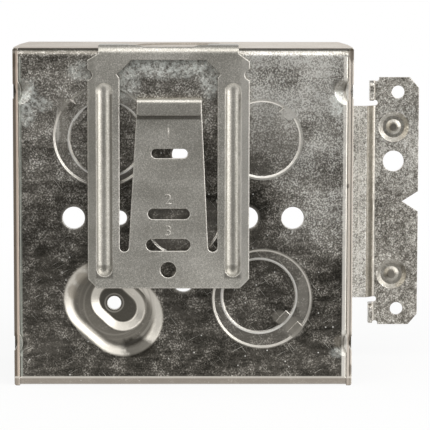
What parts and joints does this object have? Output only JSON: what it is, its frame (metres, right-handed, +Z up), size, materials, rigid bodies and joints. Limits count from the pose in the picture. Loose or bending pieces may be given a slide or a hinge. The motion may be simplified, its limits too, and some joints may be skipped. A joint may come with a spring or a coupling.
{
  "type": "square electrical box",
  "caption": "Square open-front steel wiring box of folded zinc-coated sheet with round knockouts, a stud bracket on one wall and a ribbed far-side support hooked over the back.",
  "frame": {"origin": "centre of the back's outer face, midway between the outer pair of screw holes", "axes": "+Y from the closed back to the open front, +Z up, +X towards the wall with the stud bracket"},
  "size_m": [0.1259, 0.0619, 0.1025],
  "materials": {
    "box_sheet": "spangled zinc coating",
    "bracket_sheet": "mottled zinc coating",
    "support_sheet": "fine matt zinc coating",
    "screw_steel": "bright zinc plate"
  },
  "bodies": {
    "box": {"box_body": "box_sheet", "left_side_plate": "box_sheet", "right_side_plate": "box_sheet", "stud_bracket": "bracket_sheet", "far_side_support": "support_sheet"},
    "upper_screw": {"upper_cover_screw": "screw_steel"},
    "lower_screw": {"lower_cover_screw": "screw_steel"}
  },
  "joints": [
    {"name": "upper_screw_travel", "type": "slide", "parent": "box", "child": "upper_screw", "axis": [0, 1, 0], "range_m": [-0.0012, 0.004]},
    {"name": "lower_screw_travel", "type": "slide", "parent": "box", "child": "lower_screw", "axis": [0, 1, 0], "range_m": [-0.0012, 0.004]}
  ]
}
